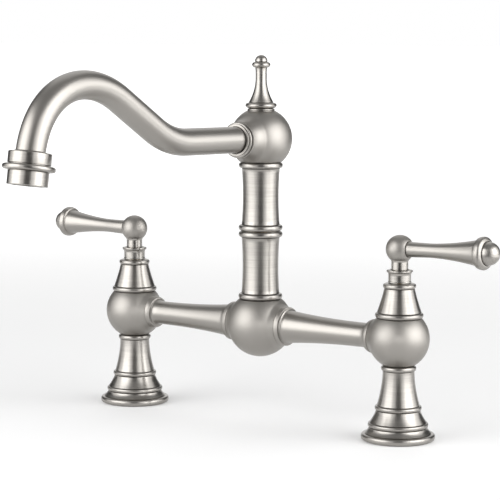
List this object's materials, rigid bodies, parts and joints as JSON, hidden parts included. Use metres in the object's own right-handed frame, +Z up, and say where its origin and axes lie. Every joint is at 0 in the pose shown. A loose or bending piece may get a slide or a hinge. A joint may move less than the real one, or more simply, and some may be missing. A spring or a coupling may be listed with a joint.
{
  "type": "bridge kitchen faucet",
  "caption": "Two-handle bridge kitchen faucet: turned posts with quarter-turn lever valves, tapered bridge arms, and a turned column that carries a swivelling arched spout.",
  "frame": {"origin": "on the deck, midway between the two posts and under the column, on the spout's swivel axis", "axes": "+Z up from the deck, +X towards the cold post, and the spout points to -Y at rest"},
  "size_m": [0.3358, 0.2428, 0.2259],
  "materials": {
    "satin_nickel": "satin brushed nickel plate over brass",
    "brass": "bare machined brass",
    "rubber": "black moulded rubber",
    "ceramic": "lapped white ceramic",
    "acetal": "white moulded acetal",
    "steel": "stainless steel"
  },
  "bodies": {
    "root": {"hot_pedestal": "satin_nickel", "hot_deck_gasket": "rubber", "hot_inlet_shank": "brass", "hot_valve_body": "satin_nickel", "hot_cartridge_seal": "rubber", "hot_cartridge_body": "brass", "hot_fixed_disc": "ceramic", "hot_bonnet": "satin_nickel", "hot_bonnet_nut": "satin_nickel", "hot_bridge_arm": "satin_nickel", "hot_arm_inner_seal": "rubber", "hot_arm_outer_seal": "rubber", "cold_pedestal": "satin_nickel", "cold_deck_gasket": "rubber", "cold_inlet_shank": "brass", "cold_valve_body": "satin_nickel", "cold_cartridge_seal": "rubber", "cold_cartridge_body": "brass", "cold_fixed_disc": "ceramic", "cold_bonnet": "satin_nickel", "cold_bonnet_nut": "satin_nickel", "cold_bridge_arm": "satin_nickel", "cold_arm_inner_seal": "rubber", "cold_arm_outer_seal": "rubber", "mixing_tee": "satin_nickel", "lower_riser": "satin_nickel", "swivel_nipple": "brass", "slip_washer": "acetal", "swivel_lower_seal": "rubber", "swivel_upper_seal": "rubber"},
    "hot_handle": {"hot_moving_disc": "ceramic", "hot_stem": "brass", "hot_stem_seal": "rubber", "hot_handle_hub": "satin_nickel", "hot_handle_screw": "steel", "hot_lever": "satin_nickel", "hot_lever_knob": "satin_nickel"},
    "cold_handle": {"cold_moving_disc": "ceramic", "cold_stem": "brass", "cold_stem_seal": "rubber", "cold_handle_hub": "satin_nickel", "cold_handle_screw": "steel", "cold_lever": "satin_nickel", "cold_lever_knob": "satin_nickel"},
    "spout": {"upper_riser": "satin_nickel", "swivel_screw": "steel", "spout_head": "satin_nickel", "finial": "satin_nickel", "spout_collar": "satin_nickel", "spout_tube": "satin_nickel", "aerator_collar": "satin_nickel", "aerator_shell": "satin_nickel", "aerator_insert": "acetal", "aerator_screen": "steel", "aerator_gasket": "rubber"}
  },
  "joints": [
    {"name": "hot_valve_turn", "type": "hinge", "parent": "root", "child": "hot_handle", "pos_m": [-0.1016, 0, 0.1], "axis": [0, 0, 1], "range_deg": [0, 90]},
    {"name": "cold_valve_turn", "type": "hinge", "parent": "root", "child": "cold_handle", "pos_m": [0.1016, 0, 0.1], "axis": [0, 0, 1], "range_deg": [-90, 0]},
    {"name": "spout_swivel", "type": "hinge", "parent": "root", "child": "spout", "pos_m": [0, 0, 0.118], "axis": [0, 0, 1], "continuous": true}
  ]
}
